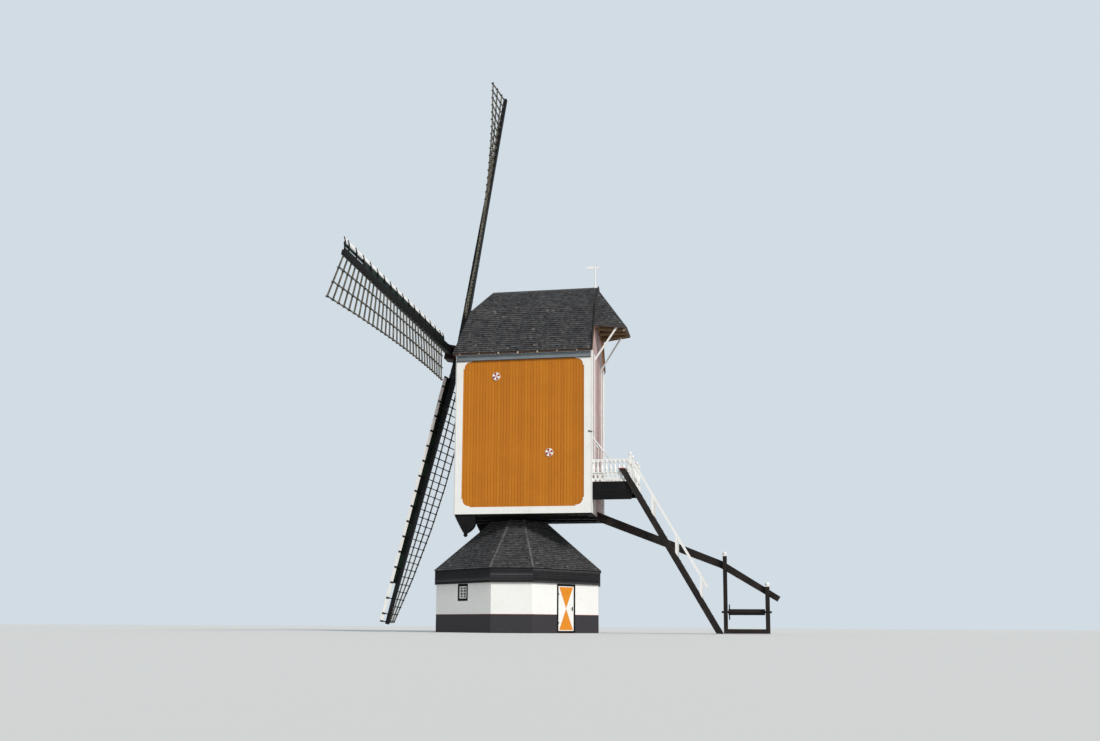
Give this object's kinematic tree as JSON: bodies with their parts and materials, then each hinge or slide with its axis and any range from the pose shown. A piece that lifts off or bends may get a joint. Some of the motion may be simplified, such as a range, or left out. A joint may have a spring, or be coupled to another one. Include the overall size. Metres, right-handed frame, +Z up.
{
  "type": "traditional windmill",
  "caption": "Wooden post mill: boarded body on a great post over an eight-sided base house, with latticed sails, balcony, stair and tail pole.",
  "frame": {"origin": "on the great post's axis at ground level, on the floor slab's underside", "axes": "+Z up; the sails face -Y, the stair, balcony and tail pole run to +Y"},
  "size_m": [25.5004, 17.633, 25.3639],
  "materials": {
    "plaster": "limewashed plaster over black tarred plinth",
    "floor_stone": "worn stone flags",
    "pier_brick": "brick",
    "tarred_boards": "tarred",
    "oak": "old oak, sawn",
    "shingles": "dark weathered shingles",
    "ochre_boards": "painted upright boards",
    "white_paint": "white oil paint",
    "rear_boards": "brown-red stained boards",
    "door_paint": "white paint with an orange hourglass of two triangles",
    "glass": "clear window glass",
    "iron": "black wrought iron",
    "sail_wood": "grey-painted larch bars",
    "pole_wood": "weathered oak"
  },
  "bodies": {
    "base": {"base_floor": "floor_stone", "base_narrow_walls": "plaster", "base_window_walls": "plaster", "base_door_walls": "plaster", "base_wall_over_door": "plaster", "base_fascia": "tarred_boards", "base_roof": "shingles", "base_door_frame": "tarred_boards", "base_window_frames": "tarred_boards", "base_window_glass": "glass", "base_piers": "pier_brick", "trestle": "oak", "main_post": "oak", "post_saddle": "oak"},
    "door": {"base_door_leaf": "door_paint", "base_door_straps": "iron"},
    "mill_body": {"body_bottom_frame": "tarred_boards", "body_floor": "oak", "crown_tree": "oak", "body_side_walls": "ochre_boards", "body_end_walls": "rear_boards", "rear_door": "rear_boards", "rear_door_frame": "white_paint", "body_trims": "white_paint", "round_hatches": "tarred_boards", "roof_front": "shingles", "roof_right": "shingles", "roof_left": "shingles", "rear_gable": "rear_boards", "rear_hood": "shingles", "hood_braces": "white_paint", "balcony_frame": "tarred_boards", "balustrade": "white_paint", "stair_strings": "tarred_boards", "stair_treads": "oak", "stair_rails": "white_paint", "tail_pole": "pole_wood", "winch_frame": "white_paint", "shaft_beams": "oak", "vane_rod": "iron"},
    "sails": {"windshaft": "oak", "sail_stocks": "tarred_boards", "sail_windboards": "tarred_boards", "sail_lattice_1": "sail_wood", "sail_lattice_2": "sail_wood", "sail_lattice_3": "sail_wood", "sail_lattice_4": "sail_wood"},
    "winch": {"winch_drum": "pole_wood"},
    "vane": {"vane": "iron"}
  },
  "joints": [
    {"name": "body_turn", "type": "hinge", "parent": "base", "child": "mill_body", "pos_m": [0, 0, 8.6], "axis": [0, 0, 1], "continuous": true},
    {"name": "sails_turn", "type": "hinge", "parent": "mill_body", "child": "sails", "pos_m": [0, -3.085, 12.76], "axis": [0, -0.9803, 0.1977], "continuous": true},
    {"name": "door_swing", "type": "hinge", "parent": "base", "child": "door", "pos_m": [2.27514, 2.20223, 0.48], "axis": [0, 0, -1], "range_deg": [0, 110]},
    {"name": "winch_turn", "type": "hinge", "parent": "mill_body", "child": "winch", "pos_m": [0, 9.08, 0.93], "axis": [0, 1, 0], "continuous": true},
    {"name": "vane_turn", "type": "hinge", "parent": "mill_body", "child": "vane", "pos_m": [0, 3.43, 16.6], "axis": [0, 0, 1], "continuous": true}
  ]
}
